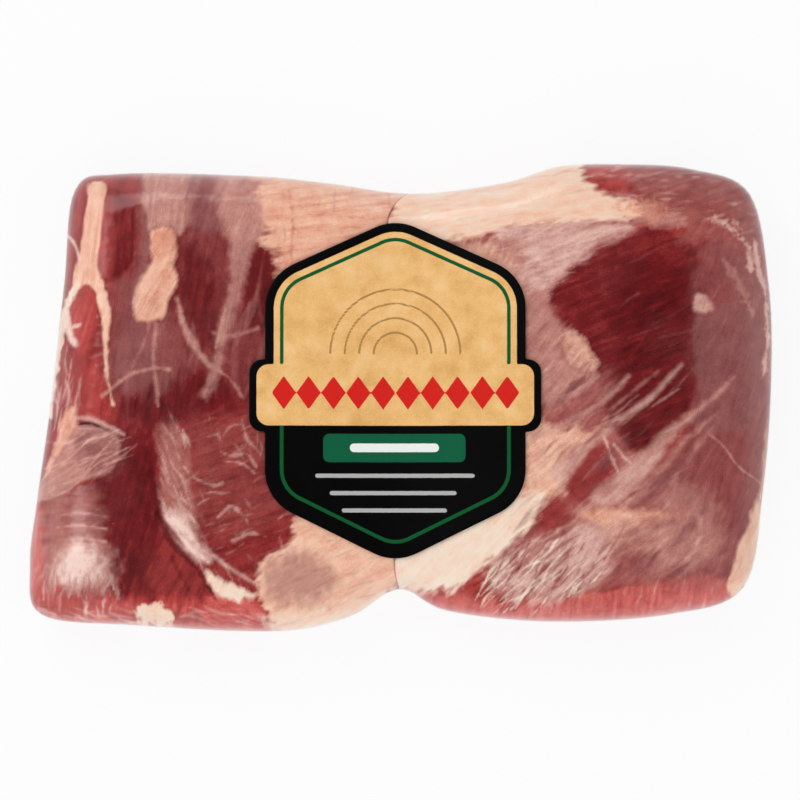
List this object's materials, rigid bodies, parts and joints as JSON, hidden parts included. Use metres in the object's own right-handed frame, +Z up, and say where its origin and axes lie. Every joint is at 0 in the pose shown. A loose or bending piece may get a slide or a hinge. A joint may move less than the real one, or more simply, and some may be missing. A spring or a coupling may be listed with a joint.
{
  "type": "vacuum-packed raw rack of lamb",
  "caption": "Sealed clear film pack of raw lamb racks lying side by side, flat on its back, with a six-sided paper label across the middle.",
  "frame": {"origin": "on the ground plane under the middle of the pack's outline", "axes": "+X across the two racks, from the left rack to the right one; +Y along their spines; +Z up, out of the labelled front"},
  "size_m": [0.3119, 0.1967, 0.0465],
  "materials": {
    "film_over_lamb": "clear shrink film tight over raw red lamb, cream fat and silverskin",
    "printed_label": "satin printed paper: black border, kraft-coloured panel, green and red fields"
  },
  "bodies": {
    "root": {"sealed_bag": "film_over_lamb", "label": "printed_label"}
  },
  "joints": []
}
